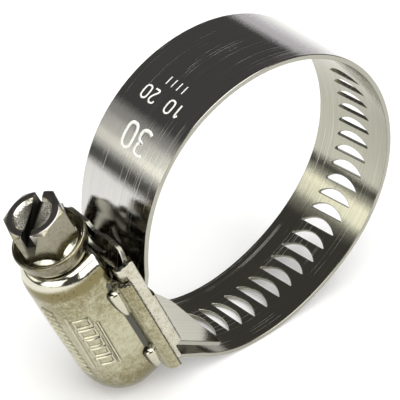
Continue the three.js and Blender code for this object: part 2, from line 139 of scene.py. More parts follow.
def mesh_object(name, points, faces, normals=None, uv=None, **attributes):
    """An object from points in the clamp's frame and arrays of faces, with its own normals, UV and
    point attributes where they are given."""
    kept, faces = weld(points, faces)
    corners = np.concatenate([f.ravel() for f in faces]).astype(np.int32)
    counts = np.concatenate([np.full(len(f), f.shape[1]) for f in faces])
    starts = np.concatenate([[0], np.cumsum(counts)[:-1]]).astype(np.int32)
    mesh = bpy.data.meshes.new(name)
    mesh.vertices.add(len(kept))
    mesh.vertices.foreach_set("co", place(points[kept]).astype(np.float32).ravel())
    mesh.loops.add(len(corners))
    mesh.loops.foreach_set("vertex_index", corners)
    mesh.polygons.add(len(starts))
    mesh.polygons.foreach_set("loop_start", starts)
    mesh.update(calc_edges=True)
    if mesh.validate():
        print("mended faces of", name)
    if uv is not None:
        flat = uv[kept][corners].astype(np.float32)
        mesh.uv_layers.new(name="UVMap").data.foreach_set("uv", flat.ravel())
    mesh.shade_smooth()
    if normals is not None:
        mesh.normals_split_custom_set_from_vertices((normals[kept] @ WAYS).astype(np.float32))
    print(f"{name}: {len(kept)} points, {len(starts)} faces")
    made = add_object(name, mesh)
    mark(made, **{key: values[kept] for key, values in attributes.items()})
    return made


def mark(made, **attributes):
    """Writes point attributes on an object's mesh."""
    for key, values in attributes.items():
        layer = made.data.attributes.new(key, "FLOAT", "POINT")
        layer.data.foreach_set("value", np.asarray(values, np.float32))


def grid_faces(rows, cols, wrap=False):
    """Quads of a grid of points, closed across its columns if wrap is set."""
    r, c = np.meshgrid(np.arange(rows - 1), np.arange(cols if wrap else cols - 1), indexing="ij")
    here, there = r * cols + c, r * cols + (c + 1) % cols
    return np.stack([here, there, there + cols, here + cols], -1).reshape(-1, 4)


def tube(rows, around):
    """Faces of a closed body from rows of points round it, with end caps."""
    loop = np.arange(around)[None]
    return [grid_faces(rows, around, wrap=True), loop[:, ::-1], loop + around * (rows - 1)]


def outward(points, faces):
    """The faces of a closed body, turned so that the sum of a . (b x c) over them is positive."""
    total = 0.0
    for f in faces:
        for k in range(1, f.shape[1] - 1):
            a, b, c = points[f[:, 0]], points[f[:, k]], points[f[:, k + 1]]
            total += (a * np.cross(b, c)).sum()
    return faces if total > 0 else [f[:, ::-1] for f in faces]


# %% [markdown]
# ## Bent sheets
#
# Band and saddle are made as real ones are: a flat pattern with its holes is filled with triangles
# and bent along a path, because slots cut into a bent solid would leave long thin faces. The cut
# edges are rolled a little, so that they catch a line of light.

# %% Paths and closed loops
NEAR_SAMPLES = 20001


def bend_path(corners, radius, step=4.0):
    """Rounds each corner b of a path by (1-t)^2 p + 2t(1-t) b + t^2 q, in steps of degrees."""
    path = [corners[0]]
    for before, here, after in zip(corners, corners[1:], corners[2:]):
        back, ahead = before - here, after - here
        legs = min(np.linalg.norm(back), np.linalg.norm(ahead)) / 2
        back, ahead = unit(back), unit(ahead)
        turn = math.pi - math.acos(np.clip(back @ ahead, -1, 1))
        if math.degrees(turn) < step:
            path.append(here)
            continue
        reach = min(radius * math.tan(turn / 2), legs)
        t = np.linspace(0, 1, math.ceil(math.degrees(turn) / step) + 1)[:, None]
        p, q = here + reach * back, here + reach * ahead
        path.extend((1 - t) ** 2 * p + 2 * t * (1 - t) * here + t**2 * q)
    path.append(corners[-1])
    path = np.array(path)
    return path[np.r_[True, np.linalg.norm(np.diff(path, axis=0), axis=1) > 1e-6]]


class Route:
    """A path in a plane with its running length and headings."""

    def __init__(self, path):
        self.path = path
        self.run = np.r_[0, np.cumsum(np.linalg.norm(np.diff(path, axis=0), axis=1))]
        self.heading = unit(np.gradient(path, self.run, axis=0))
        self.length = self.run[-1]

    def at(self, run):
        """Places and headings at these runs, straight on beyond the path's ends."""
        spot, heading = (np.stack([np.interp(run, self.run, values[:, k]) for k in (0, 1)], -1)
                         for values in (self.path, self.heading))
        beyond = np.asarray(run) - np.clip(run, 0, self.length)
        return spot + unit(heading) * beyond[..., None], unit(heading)

    def near(self, point):
        """The run of the path's nearest point to a place."""
        dense = np.linspace(0, self.length, NEAR_SAMPLES)
        return dense[np.argmin(np.linalg.norm(self.at(dense)[0] - point, axis=1))]

    def rows(self, turn, most):
        """Runs between which the path turns and grows little."""
        angle = np.unwrap(np.arctan2(self.heading[:, 1], self.heading[:, 0]))
        used = np.maximum(np.abs(np.diff(angle)) / math.radians(turn), np.diff(self.run) / most)
        steps = np.r_[0, np.cumsum(used)]
        return np.interp(np.linspace(0, steps[-1], math.ceil(steps[-1]) + 1), steps, self.run)


def chaikin(path, times, closed=True):
    """Rounds a path by cutting every corner a quarter of each side in."""
    for _ in range(times):
        a, b = (path, np.roll(path, -1, axis=0)) if closed else (path[:-1], path[1:])
        cuts = np.stack([0.75 * a + 0.25 * b, 0.25 * a + 0.75 * b], 1).reshape(-1, 2)
        path = cuts if closed else np.concatenate([path[:1], cuts, path[-1:]])
    return path


def resample(loop, step):
    """Splits the sides of a closed loop that are longer than step."""
    out = []
    for a, b in zip(loop, np.roll(loop, -1, axis=0)):
        n = max(1, math.ceil(np.linalg.norm(b - a) / step))
        out.extend(a + (b - a) * k / n for k in range(n))
    return np.array(out)


def inside(points, loops):
    """Even-odd test of points against closed loops."""
    odd = np.zeros(len(points), bool)
    for loop in loops:
        for (ax, ay), (bx, by) in zip(loop, np.roll(loop, -1, axis=0)):
            cuts = (ay > points[:, 1]) != (by > points[:, 1])
            odd ^= cuts & (points[:, 0] < ax + (bx - ax) * (points[:, 1] - ay) / (by - ay + 1e-30))
    return odd


# %% Flat patterns and sheets
LEAST_MITER, MOST_MITER, ROLL_STEPS = 0.5, 1.6, 4


def fill(loops, extra, keep):
    """Triangles between loops and extra points, where keep(centres) holds."""
    points = np.concatenate([*loops, extra])
    edges, base = [], 0
    for loop in loops:
        n = len(loop)
        edges.extend((base + k, base + (k + 1) % n) for k in range(n))
        base += n
    verts, _, faces, sources, *_ = delaunay_2d_cdt(
        [Vector(p) for p in points], edges, [], 0, 1e-6)
    verts = np.array([points[s[0]] if s else v[:] for v, s in zip(verts, sources)])
    faces = np.array(faces)
    faces = faces[keep(verts[faces].mean(1))]
    a, b, c = (verts[faces[:, k]] for k in range(3))
    turned_over = np.cross(b - a, c - a) < 0
    faces[turned_over] = faces[turned_over][:, ::-1]
    return verts, faces


def border(faces):
    """Loops of point indices round a set of triangles, with the triangles on the left."""
    sides = dict.fromkeys((int(t[k]), int(t[k - 2])) for t in faces for k in range(3))
    follow = {a: b for a, b in sides if (b, a) not in sides}
    loops = []
    while follow:
        here, loop = next(iter(follow)), []
        while here in follow:
            loop.append(here)
            here = follow.pop(here)
        loops.append(loop)
    return loops


def bent_sheet(name, outline, holes, rows, cols, bend, thickness):
    """A sheet from a flat pattern. Across its cut edge, at angle f, a roll of radius e moves in by
    e (1 - cos f) and up to thickness/2 - e (1 - sin f). Its attribute rim is one on the cut edge,
    and face is one on the outer face and minus one on the inner."""
    verts, faces = fill(
        [outline, *holes], np.empty((0, 2)), lambda c: inside(c, [outline]) & ~inside(c, holes))
    loops = [verts[loop] for loop in border(faces) if len(loop) > 3]
    outs, inner = [], []
    for loop in loops:
        side = unit(np.roll(loop, -1, axis=0) - loop)
        right = right_of(side)
        out = unit(right + np.roll(right, 1, axis=0))
        miter = np.minimum(1 / np.maximum((out * right).sum(-1), LEAST_MITER), MOST_MITER)
        outs.append(out)
        inner.append(loop - EDGE_ROLL * out * miter[:, None])
    grid = np.stack(np.meshgrid(rows, cols, indexing="ij"), -1).reshape(-1, 2)
    flat, tris = fill(inner, grid[inside(grid, inner)], lambda c: inside(c, inner))

    half, base, quads = thickness / 2, 2 * len(flat), []
    layers = [(flat, half, 1, 0 * flat), (flat, -half, -1, 0 * flat)]
    quarter = np.linspace(0, 90, ROLL_STEPS + 1)
    angles = np.r_[-quarter[::-1], quarter] * math.pi / 180
    for loop, out, inn in zip(loops, outs, inner):
        for f in angles:
            level = math.copysign(half - EDGE_ROLL, f) + EDGE_ROLL * math.sin(f)
            where = loop + (inn - loop) * (1 - math.cos(f))
            layers.append((where, level, math.sin(f), out * math.cos(f)))
        quads.append(grid_faces(len(angles), len(loop), wrap=True) + base)
        base += len(loop) * len(angles)
    table = [np.column_stack([where, [(level, lift)] * len(where), lean])
             for where, level, lift, lean in layers]
    pattern, level, lift, lean = np.split(np.concatenate(table), [2, 3, 4], axis=1)
    middle, first, second, normal = bend(*pattern.T)
    points = middle + normal * level
    normals = unit(normal * lift + first * lean[:, :1] + second * lean[:, 1:])
    shells = [tris, tris[:, ::-1] + len(flat), *quads]
    if np.cross(first[0], second[0]) @ normal[0] < 0:
        shells = [s[:, ::-1] for s in shells]
    rim = np.linalg.norm(lean, axis=1)
    return mesh_object(name, points, shells, normals, pattern, rim=rim, face=lift[:, 0])


# %% [markdown]
# ## The band
#
# Tail, slotted layer under the worm, ring, plain layer on the saddle's base, and tongue, in one
# strip. The ring is a circle with three waves, fitted to the photograph's rims, because a strip
# held at both ends springs out of round. The slots are D-shaped and slant by the worm's lead.

# %% The band's route and pattern
BAND_WIDTH, BAND_THICKNESS, BAND_BEND, RING_RADIUS = 16.0, 0.78, 2.4, 25.1
SLOT_PITCH, SLOT_LENGTH, SLOT_DEPTH, SLOT_SHIFT = 2.78, 7.3, 1.6, -0.1
TAIL_LENGTH, TAIL_CORNER, TAIL_FALL = 3.6, 2.6, 28.0
TONGUE_LENGTH, TONGUE_CORNER, TONGUE_FALL, TONGUE_SKEW = 10.6, 4.6, 37.0, 0.2
PLAIN_LAYER, SLOTTED_LAYER = 23.94, 24.82
RING_START, RING_END, RING_STEPS, FIRST_SLOT = 126, 430, 244, -82.8
WAVES = ((2, 0.0226, 139.7), (3, 0.0210, 129.4), (4, 0.0081, 127.5))
LEAD = math.atan(SLOT_PITCH / (math.pi * (THREAD_RADIUS + WORM_RADIUS)))


def ring_point(angle):
    """Middle of the strip at an angle: r = R - t/2 + R * sum(share * cos(n (angle - crest)))."""
    swell = sum(share * np.cos(n * np.radians(angle - crest)) for n, share, crest in WAVES)
    radius = RING_RADIUS - BAND_THICKNESS / 2 + RING_RADIUS * swell
    return polar(radius, np.radians(angle))


def falling(start, heading, fall, length):
    """The end of a straight piece that falls by so many degrees towards the hose."""
    turn = math.radians(fall)
    ahead, down = length * math.cos(turn), length * math.sin(turn)
    return np.array([start[0] + heading * ahead, start[1] - down])


tail_bend = np.array([FLANGE_HEAD + BAND_THICKNESS / 2, SLOTTED_LAYER])
exit_bend = np.array([FLANGE_TAIL - BAND_THICKNESS / 4, SLOTTED_LAYER])
entry_bend = np.array([BASE_HEAD + BAND_THICKNESS / 2, PLAIN_LAYER])
tongue_bend = np.array([BASE_TAIL - BAND_THICKNESS / 2, PLAIN_LAYER])
band_route = Route(bend_path([
    falling(tail_bend, 1, TAIL_FALL, TAIL_LENGTH), tail_bend, exit_bend,
    *ring_point(np.linspace(RING_START, RING_END, RING_STEPS)), entry_bend, tongue_bend,
    falling(tongue_bend, -1, TONGUE_FALL, TONGUE_LENGTH),
], BAND_BEND))


def bend_sheet(at, heading, flat, order):
    """A bent sheet's middle, two ways and outer normal. Its section runs in a plane, through places
    with headings, flat is the place across it, and order names the axes of plane, flat, plane."""
    zero = np.zeros(len(flat))
    axes = np.eye(3)[list(order)]
    middle = np.stack([at[:, 0], flat, at[:, 1]], -1) @ axes
    along = np.stack([heading[:, 0], zero, heading[:, 1]], -1) @ axes
    normal = np.stack([heading[:, 1], zero, -heading[:, 0]], -1) @ axes
    return middle, along, np.tile(axes[1], (len(flat), 1)), normal


def bend_band(run, across):
    """The strip's middle at (run, across), both ways and its outer normal."""
    return bend_sheet(*band_route.at(run), across, (0, 1, 2))


def slot_loop(run):
    """A D-shaped slot: a chord towards the tail and an arc of radius (h^2 + d^2) / 2d beyond it."""
    half = SLOT_LENGTH / 2
    radius = (half**2 + SLOT_DEPTH**2) / (2 * SLOT_DEPTH)
    spread = math.asin(half / radius)
    arc = polar(radius, np.linspace(-spread, spread, 13)) - [radius, 0] + [SLOT_DEPTH / 2, 0]
    chord = np.stack([np.full(9, -SLOT_DEPTH / 2), np.linspace(half, -half, 11)[1:-1]], -1)
    loop = chaikin(np.concatenate([arc, chord]), 2)
    turn = np.array([[math.cos(LEAD), math.sin(LEAD)], [-math.sin(LEAD), math.cos(LEAD)]])
    return loop @ turn + [run, SLOT_SHIFT]


def corner_arc(run, across, radius, start):
    """A quarter circle of the band's outline."""
    return [run, across] + polar(radius, np.radians(np.linspace(start, start + 90, 10)))


half_width, band_end = BAND_WIDTH / 2, band_route.length
band_outline = resample(np.concatenate([
    corner_arc(TAIL_CORNER, TAIL_CORNER - half_width, TAIL_CORNER, 180),
    [[band_end - TONGUE_SKEW, -half_width], [band_end, TONGUE_SKEW - half_width]],
    corner_arc(band_end - TONGUE_CORNER, half_width - TONGUE_CORNER, TONGUE_CORNER, 0),
    corner_arc(TAIL_CORNER, half_width - TAIL_CORNER, TAIL_CORNER, 90),
]), 0.5)
slot_runs = np.arange(band_route.near(ring_point(FIRST_SLOT)), -SLOT_DEPTH, -SLOT_PITCH)
band = bent_sheet(
    "band_strip", band_outline, [slot_loop(run) for run in slot_runs],
    band_route.rows(2.2, 1.4), np.linspace(-7.2, 7.2, 13), bend_band, BAND_THICKNESS,
)
print("strip", round(band_end, 1), "mm long with", len(slot_runs), "slots")

# %% [markdown]
# ## The saddle
#
# A channel with lips over the band's slotted layer, walls beside it, and a shorter base. It is bent
# from a flat pattern too, because its notched ends are cuts in the flat blank.

# %% The saddle's section and pattern
SADDLE_THICKNESS, SADDLE_BEND, SADDLE_TAIL, SADDLE_HEAD = 0.8, 0.62, -10.3, 13.7
LIP_LAYER, BASE_LAYER, WALL_CENTRE, LIP_EDGE = 25.71, 23.05, 8.6, 7.5
HEAD_NOTCH, TAIL_NOTCH = 23.3, 24.15
saddle_route = Route(bend_path(np.array([
    [-LIP_EDGE, LIP_LAYER], [-WALL_CENTRE, LIP_LAYER], [-WALL_CENTRE, BASE_LAYER],
    [WALL_CENTRE, BASE_LAYER], [WALL_CENTRE, LIP_LAYER], [LIP_EDGE, LIP_LAYER],
]), SADDLE_BEND, 15.0))


def bend_saddle(along, run):
    """The channel's middle at (along the screw, run across it), both ways and its outer normal."""
    middle, across, ahead, normal = bend_sheet(*saddle_route.at(run), along, (1, 0, 2))
    return middle, ahead, across, normal


head_trim = saddle_route.near(np.array([-WALL_CENTRE, HEAD_NOTCH]))
tail_trim = saddle_route.near(np.array([-WALL_CENTRE, TAIL_NOTCH]))
saddle_across = saddle_route.length
saddle_outline = chaikin(resample(np.array([
    [SADDLE_TAIL, 0], [SADDLE_HEAD, 0], [SADDLE_HEAD, head_trim], [BASE_HEAD, head_trim],
    [BASE_HEAD, saddle_across - head_trim], [SADDLE_HEAD, saddle_across - head_trim],
    [SADDLE_HEAD, saddle_across], [SADDLE_TAIL, saddle_across],
    [SADDLE_TAIL, saddle_across - tail_trim], [BASE_TAIL, saddle_across - tail_trim],
    [BASE_TAIL, tail_trim], [SADDLE_TAIL, tail_trim],
]), 0.6), 2)
saddle = bent_sheet(
    "saddle_channel", saddle_outline, [], np.linspace(-10, 13.4, 27), saddle_route.rows(12, 1.2),
    bend_saddle, SADDLE_THICKNESS,
)

# %% [markdown]
# ## The housing
#
# A pressed hood on flanges that curl down outside the saddle, with a dome at the tail and a neck at
# the head. It is one grid of sections, outside and inside, so that its thickness is real at the
# mouth. The strokes on its near side are raised in that grid, since a bump in the material would
# vanish against the light.

# %% The housing's outline and relief
SHEET, FILLET, CURL = 0.9, 0.8, 1.85
HOOD_RADIUS, HOOD_TAIL, HOOD_HEAD, HOOD_FOOT = 6.9, -15.75, 16.0, 26.66
DOME_LENGTH, DOME_POWER, TAPER, TAPER_START, TAPER_POWER = 8.5, 2.3, 0.24, -2, 1.4
SHOULDER, SHOULDER_DROP, MOUTH_RADIUS, MOUTH_LIP = 12.4, 1.95, 3.6, 0.4
FLANGE_TOP, FLANGE_OUT, FLANGE_TIP = 27.11, 10.0, 25.05
# Round the arch the near side, with its raised strokes, has the finer steps, in degrees.
ARCH = np.r_[np.linspace(0, 88, 118), np.linspace(88, 180, 34)[1:]]
WALL_STEPS = 6
# Raised strokes from (x, angle) to (x, angle), in mm and degrees from the side towards the crown:
# two bars, a row of plain boxes, and a row of short ticks.
RELIEF = [((8.6, 51), (-4.3, 56)), ((5.9, 17.5), (-4.2, 20))]
for k in range(5):
    left, right = 7.6 - 2.4 * k, 5.9 - 2.4 * k
    corners = [(left, 45), (right, 45), (right, 25), (left, 25)]
    RELIEF += zip(corners, [*corners[1:], corners[0]])
RELIEF += [((10.2 - 1.25 * k, 80), (9.5 - 1.25 * k, 67)) for k in range(14)]
RELIEF_WIDTH, RELIEF_EDGE, RELIEF_HEIGHT = 0.15, 0.14, 0.3
LINE_OFFSET, LINE_WIDTH = 0.12, 0.13


def hood_radius(x):
    """The hood's radius: a slight taper towards the head, a quarter of an ellipse over the shoulder,
    and R (1 - d^p)^(1/p) over the dome."""
    narrowing = ramp(x, TAPER_START, SHOULDER - TAPER_START) ** TAPER_POWER
    t = ramp(x, SHOULDER, HOOD_HEAD - SHOULDER)
    d = ramp(x, HOOD_TAIL + DOME_LENGTH, -DOME_LENGTH)
    drawn_in = HOOD_RADIUS - TAPER * narrowing - SHOULDER_DROP * (1 - np.sqrt(1 - t * t))
    return drawn_in * (1 - d**DOME_POWER) ** (1 / DOME_POWER)


def relief(x, angle):
    """Height of the strokes at (x, angle), as a share with a soft step at each stroke's edge, and
    the line of painted shade along such an edge."""
    p = np.stack([x, np.radians(angle) * HOOD_RADIUS], -1)
    far = np.full(x.shape, 9.0)
    for a, b in np.array(RELIEF) * [1, math.radians(HOOD_RADIUS)]:
        t = np.clip((p - a) @ (b - a) / ((b - a) @ (b - a)), 0, 1)
        far = np.minimum(far, np.linalg.norm(p - a - t[..., None] * (b - a), axis=-1))
    t = ramp(far, RELIEF_WIDTH + RELIEF_EDGE, -2 * RELIEF_EDGE)
    return t * t * (3 - 2 * t), bell(far - RELIEF_WIDTH, LINE_OFFSET, LINE_WIDTH)


# %% [markdown]
# ### The hood
#
# At each station from dome to mouth a ring of points goes over the arch, round one foot, back along
# the lining and round the other. The points carry shares for the finish, because only the form knows
# them: sheared edges, painted shade in the fillet and along the strokes' edges, stains, and a polished
# neck with painted highlights on the strokes' tops.

# %% The hood's rings
FOOT_ROUND = ((0.06, 0.05), (0.16, 0.09), (0.84, 0.09), (0.94, 0.05))
CREASE_TOP, CREASE_SOFT, CREASE_MIDDLE, CREASE_REACH = 28.1, 0.25, -0.2, 10.4
POLISH_FROM, POLISH_SOFT, STROKE_HIGHLIGHT, STROKE_EDGE_SHADE = 14.3, 0.5, 0.45, 0.5
# Soil round the shoulder, towards the head and over the dome: its form, strength, place and length.
SOIL = ((bell, 1.5, 13.5, 0.8), (ramp, 0.75, 2, 8), (ramp, 1.4, -3.5, -7.5))
parts = []


def add_part(points, faces, **shares):
    """Keeps a closed part of the housing with its shares."""
    parts.append((points, outward(points, faces), shares))


def inset(path, depth, closed=False):
    """A path moved to its right."""
    ahead = np.roll(path, -1, axis=0) - np.roll(path, 1, axis=0) if closed else np.gradient(path, axis=0)
    return path + depth * right_of(unit(ahead))


def arch(x, radius, lift=0.0):
    """Points over each station: up the near wall, over the arch, which lift raises, and down the far
    wall."""
    angle, wall = np.radians(ARCH), radius[:, None]
    r = wall + lift
    near = np.linspace(HOOD_FOOT, SCREW_HEIGHT, WALL_STEPS + 1)[None, :-1] + 0 * wall
    y = np.concatenate([-wall + 0 * near, -r * np.cos(angle), wall + 0 * near], 1)
    z = np.concatenate([near, SCREW_HEIGHT + r * np.sin(angle), near[:, ::-1]], 1)
    return np.stack([x[:, None] + 0 * y, y, z], -1)


def foot(first, second):
    """A slightly rounded edge between two rows of points at the foot of the wall."""
    return np.stack([first + (second - first) * t - [0, 0, drop] for t, drop in FOOT_ROUND], 1)


dome = HOOD_TAIL + DOME_LENGTH * (1 - np.sin(np.linspace(math.pi / 2, 0, 36)))
body = np.linspace(HOOD_TAIL + DOME_LENGTH, SHOULDER, 162)[1:-1]
drawn = SHOULDER + (HOOD_HEAD - SHOULDER) * np.sin(np.linspace(0, math.pi / 2 - 0.12, 26))
stations = np.concatenate([dome, body, drawn])
outer = np.stack([stations, hood_radius(stations)], -1)
mouth = np.array([outer[-1], [HOOD_HEAD, outer[-1, 1] - 0.35], [HOOD_HEAD, MOUTH_RADIUS]])
outer = np.concatenate([outer, bend_path(mouth, MOUTH_LIP, 12.0)[1:]])
inner = inset(outer, SHEET)
inner[:, 0] = np.clip(inner[:, 0], HOOD_TAIL + SHEET, HOOD_HEAD - SHEET)
inner[0], inner[-1] = (HOOD_TAIL + SHEET, 0), (HOOD_HEAD - SHEET, MOUTH_RADIUS)
inner[:, 1] = np.maximum(inner[:, 1], 0)
raised, stroke_edge_shade = relief(*np.broadcast_arrays(outer[:, :1], ARCH))
skin = arch(outer[:, 0], outer[:, 1], RELIEF_HEIGHT * raised)
lining = arch(inner[:, 0], inner[:, 1])
hood_rings = np.concatenate([
    skin, foot(skin[:, -1], lining[:, -1]), lining[:, ::-1], foot(lining[:, 0], skin[:, 0])], 1)

# The mouth is closed from skin to lining: quads over the arch and a strip at each foot.
around, across, round_foot = hood_rings.shape[1], skin.shape[1], len(FOOT_ROUND)
last_ring = (len(hood_rings) - 1) * around
over, under = np.arange(across), 2 * across + round_foot - 1 - np.arange(across)
mouth_cap = last_ring + np.stack([over[:-1], over[1:], under[1:], under[:-1]], -1)
mouth_feet = last_ring + np.stack([
    np.arange(across - 1, across + round_foot + 1), np.r_[2 * across + round_foot - 1:around, 0]])

station, level, rank = hood_rings[..., 0], hood_rings[..., 2], np.arange(around)
on_foot = (rank >= across) & (rank < across + round_foot) | (rank >= around - round_foot)
arch_columns = slice(WALL_STEPS, WALL_STEPS + len(ARCH))
# Painted shade: a dark stripe in the fillet between hood and flange, within reach of the middle.
hood_crease = ramp(level, CREASE_TOP, -CREASE_SOFT)
hood_crease *= np.abs(station - CREASE_MIDDLE) < CREASE_REACH
# Painted shade: a dark line along each stroke's edge.
hood_crease[:, arch_columns] += STROKE_EDGE_SHADE * stroke_edge_shade
hood_soil = sum(strength * form(station, start, length) for form, strength, start, length in SOIL)
hood_polish = ramp(station, POLISH_FROM, POLISH_SOFT)
# Painted highlight: the strokes' raised tops are drawn brighter.
hood_polish[:, arch_columns] += STROKE_HIGHLIGHT * raised
print("hood", hood_rings.shape[:2], "points, strokes over", round(float(raised.mean()), 3), "of it")
add_part(
    hood_rings.reshape(-1, 3),
    [grid_faces(len(hood_rings), around, wrap=True), mouth_cap, mouth_feet],
    cut=np.tile(on_foot, len(hood_rings)), crease=hood_crease.ravel(), soil=hood_soil.ravel(),
    polish=hood_polish.ravel(),
)

# %% [markdown]
# ### The flanges
#
# Each is a closed section, swept along the hood from inside its wall. It draws in over the last few
# rings, so that the sheared end has a rolled edge too.

# %% The flanges' sections
TUCK, FILLET_STEPS, CURL_STEPS, CURL_LINE, CURL_LINE_SHADE = 0.45, 12, 16, 21, 0.45
FLANGE_ROWS, FLANGE_INSET, TIP_HEIGHT = 60, 0.4, 0.3
END_ROLL = ((0.0, 1.0), (0.04, 0.6), (0.3, 0.2), (1.0, 0.0))
FLANGE_SOIL_HEAD, FLANGE_SOIL_FALL = 0.85, 0.5


def flange_section(radius):
    """Closed section of one flange, from inside the hood's wall: fillet, top, curl and tip outside,
    and the same a sheet's thickness further in."""
    low, up, inset = FLANGE_TOP + FILLET, FLANGE_TOP - SHEET, CURL - SHEET
    turn = np.radians(np.linspace(180, 270, FILLET_STEPS))
    curl = polar(1.0, np.radians(np.linspace(90, 0, CURL_STEPS)))
    middle, inner_face = [FLANGE_OUT - CURL, FLANGE_TOP - CURL], FLANGE_OUT - SHEET
    tip = bend_path(np.array([
        [FLANGE_OUT, FLANGE_TIP + TIP_HEIGHT], [FLANGE_OUT, FLANGE_TIP],
        [inner_face, FLANGE_TIP], [inner_face, FLANGE_TIP + TIP_HEIGHT],
    ]), EDGE_ROLL, 20.0)
    return np.concatenate([
        [[radius - TUCK, low + 0.5], [radius - 0.004, low + TUCK]],
        [radius + FILLET, low] + polar(FILLET, turn),
        middle + CURL * curl, tip, middle + inset * curl[::-1],
        [[radius + FILLET, up], [radius - 0.1, up + 0.35], [radius - SHEET + 0.1, low]],
    ])


section = flange_section(HOOD_RADIUS)
rank, n = np.arange(len(section)), len(section)
on_tip = (rank >= 2 + FILLET_STEPS + CURL_STEPS) & (section[:, 1] < FLANGE_TIP + 0.2)
in_fillet = (rank > 0) & (rank < FILLET_STEPS - 1)
into, rolled = np.array(END_ROLL).T * EDGE_ROLL
flange_x = np.concatenate([
    FLANGE_TAIL + into,
    np.linspace(FLANGE_TAIL + FLANGE_INSET, FLANGE_HEAD - FLANGE_INSET, FLANGE_ROWS),
    FLANGE_HEAD - into[::-1],
])
flange_roll = np.concatenate([rolled, np.zeros(FLANGE_ROWS), rolled[::-1]])
from_head = (FLANGE_HEAD - flange_x) / (FLANGE_HEAD - FLANGE_TAIL)
for side in (-1, 1):
    rings = [inset(flange_section(float(hood_radius(x))), roll, closed=True) * [side, 1]
             for x, roll in zip(flange_x, flange_roll)]
    # Painted shade in the fillet, and a fainter painted line of shade along the curl.
    add_part(
        np.concatenate([*map(at_x, flange_x, rings)]), tube(len(flange_x), n),
        cut=np.maximum(on_tip, np.minimum(1, 2 * flange_roll / EDGE_ROLL)[:, None]).ravel(),
        crease=np.tile(in_fillet + CURL_LINE_SHADE * (rank == CURL_LINE), len(flange_x)),
        soil=np.repeat(FLANGE_SOIL_HEAD - FLANGE_SOIL_FALL * from_head, n),
    )

# %% [markdown]
# ### The gussets
#
# Webs pressed up between hood and flange keep the flange from folding open. Each is a smooth seed,
# blunt towards the head and drawn out towards the tail, so it is lofted by a formula.

# %% The gussets' lofts
GUSSET_HEADS, GUSSET_LENGTH, GUSSET_WIDTH, GUSSET_HEIGHT = (9.2, -5.9), 6.6, 1.15, 1.5
BLUNT_SHARE, BLUNT_POWER, DRAWN_POWER, GUSSET_HIGHLIGHT = 0.10, 2.4, 0.55, 0.6
SEAT = np.array([-0.1, 0.15]), np.array([[-0.4, 0.2], [-0.4, -0.35]])


def gusset(head, side):
    """One gusset's points and faces, and its share of painted shade towards the hood's wall."""
    share = np.linspace(0, 1, 34)
    blunt = 1 - ramp(share, BLUNT_SHARE, -BLUNT_SHARE) ** BLUNT_POWER
    size = np.sqrt(blunt) * np.cos(math.pi / 2 * share) ** DRAWN_POWER
    degrees = np.linspace(-12, 102, 18)
    seed = polar(1.0, np.radians(degrees)) * [GUSSET_WIDTH, GUSSET_HEIGHT]
    rings = []
    for x, grow in zip(head - GUSSET_LENGTH * share, size):
        corner = [float(hood_radius(x)), FLANGE_TOP]
        ring = np.concatenate([corner + SEAT[0] + seed * grow, corner + SEAT[1]])
        rings.append(at_x(x, ring * [side, 1]))
    upper_face_shade = np.r_[ramp(degrees, 42, 25), 1, 1]
    return np.concatenate(rings), tube(len(rings), len(upper_face_shade)), np.tile(upper_face_shade, len(rings))


for head in GUSSET_HEADS:
    for side in (-1, 1):
        points, faces, upper_face_shade = gusset(head, side)
        # Painted shade on each gusset's upper face, and a painted highlight over the whole gusset.
        add_part(points, faces, crease=upper_face_shade, polish=np.full(len(points), GUSSET_HIGHLIGHT))
print("parts of the housing:", len(parts))

# %% The housing as one object
bases = np.cumsum([0, *(len(points) for points, _, _ in parts)])
housing = mesh_object(
    "housing_shell", np.concatenate([points for points, _, _ in parts]),
    [f + base for (_, faces, _), base in zip(parts, bases) for f in faces],
    **{key: np.concatenate([shares.get(key, np.zeros(len(points))) for points, _, shares in parts])
       for key in ("cut", "crease", "soil", "polish")},
)

# %% [markdown]
# ## The screw
#
# Three meshes on one body: the turned core with its neck and dished collar, the thread as a ridge
# swept along the helix, and the hexagon. Turning, sweeping and cutting each suit another mesh.

# %% The turned core
WORM_TAIL, WORM_HEAD, NECK_RADIUS = -10.0, 10.4, 3.3
COLLAR_BOTTOM, COLLAR_TOP, COLLAR_RADIUS = 16.3, 19.25, 5.65
DISH_FLOOR, HEX_TOP, CORE_SIDES = 18.15, 24.75, 96


def turned(name, profile, sides, turn=0.0):
    """A closed body turned round the screw's axis from (x, r) pairs."""
    a = np.radians(turn) + np.linspace(0, 2 * math.pi, sides, endpoint=False)
    x, r = np.array(profile, float).T[..., None]
    points = np.stack([x + 0 * a, r * np.cos(a), SCREW_HEIGHT + r * np.sin(a)], -1).reshape(-1, 3)
    return mesh_object(name, points, outward(points, tube(len(profile), sides)))


def spots_of(made):
    """An object's points: how far along the screw, from its axis, and where across it."""
    co = np.empty(3 * len(made.data.vertices), np.float32)
    made.data.vertices.foreach_get("co", co)
    local = (co.reshape(-1, 3) - CENTRE) / MM @ WAYS.T - [0, 0, SCREW_HEIGHT]
    return local[:, 0], np.hypot(local[:, 1], local[:, 2]), local[:, 1:]


core = turned("screw_core", bend_path(np.array([
    [WORM_TAIL, 0.0], [WORM_TAIL, WORM_RADIUS], [WORM_HEAD, WORM_RADIUS],
    [WORM_HEAD, NECK_RADIUS], [COLLAR_BOTTOM, NECK_RADIUS], [COLLAR_BOTTOM, 5.0],
    [COLLAR_BOTTOM + 1.0, 5.38], [COLLAR_TOP - 0.2, COLLAR_RADIUS], [COLLAR_TOP, 5.3],
    [COLLAR_TOP - 0.3, 5.02], [DISH_FLOOR + 0.25, 4.95], [DISH_FLOOR + 0.25, 4.75],
    [DISH_FLOOR + 1.15, 4.0], [DISH_FLOOR + 1.7, 3.6], [DISH_FLOOR + 1.7, 0.0],
]), 0.3, 12.0), CORE_SIDES)
along, reach, _ = spots_of(core)
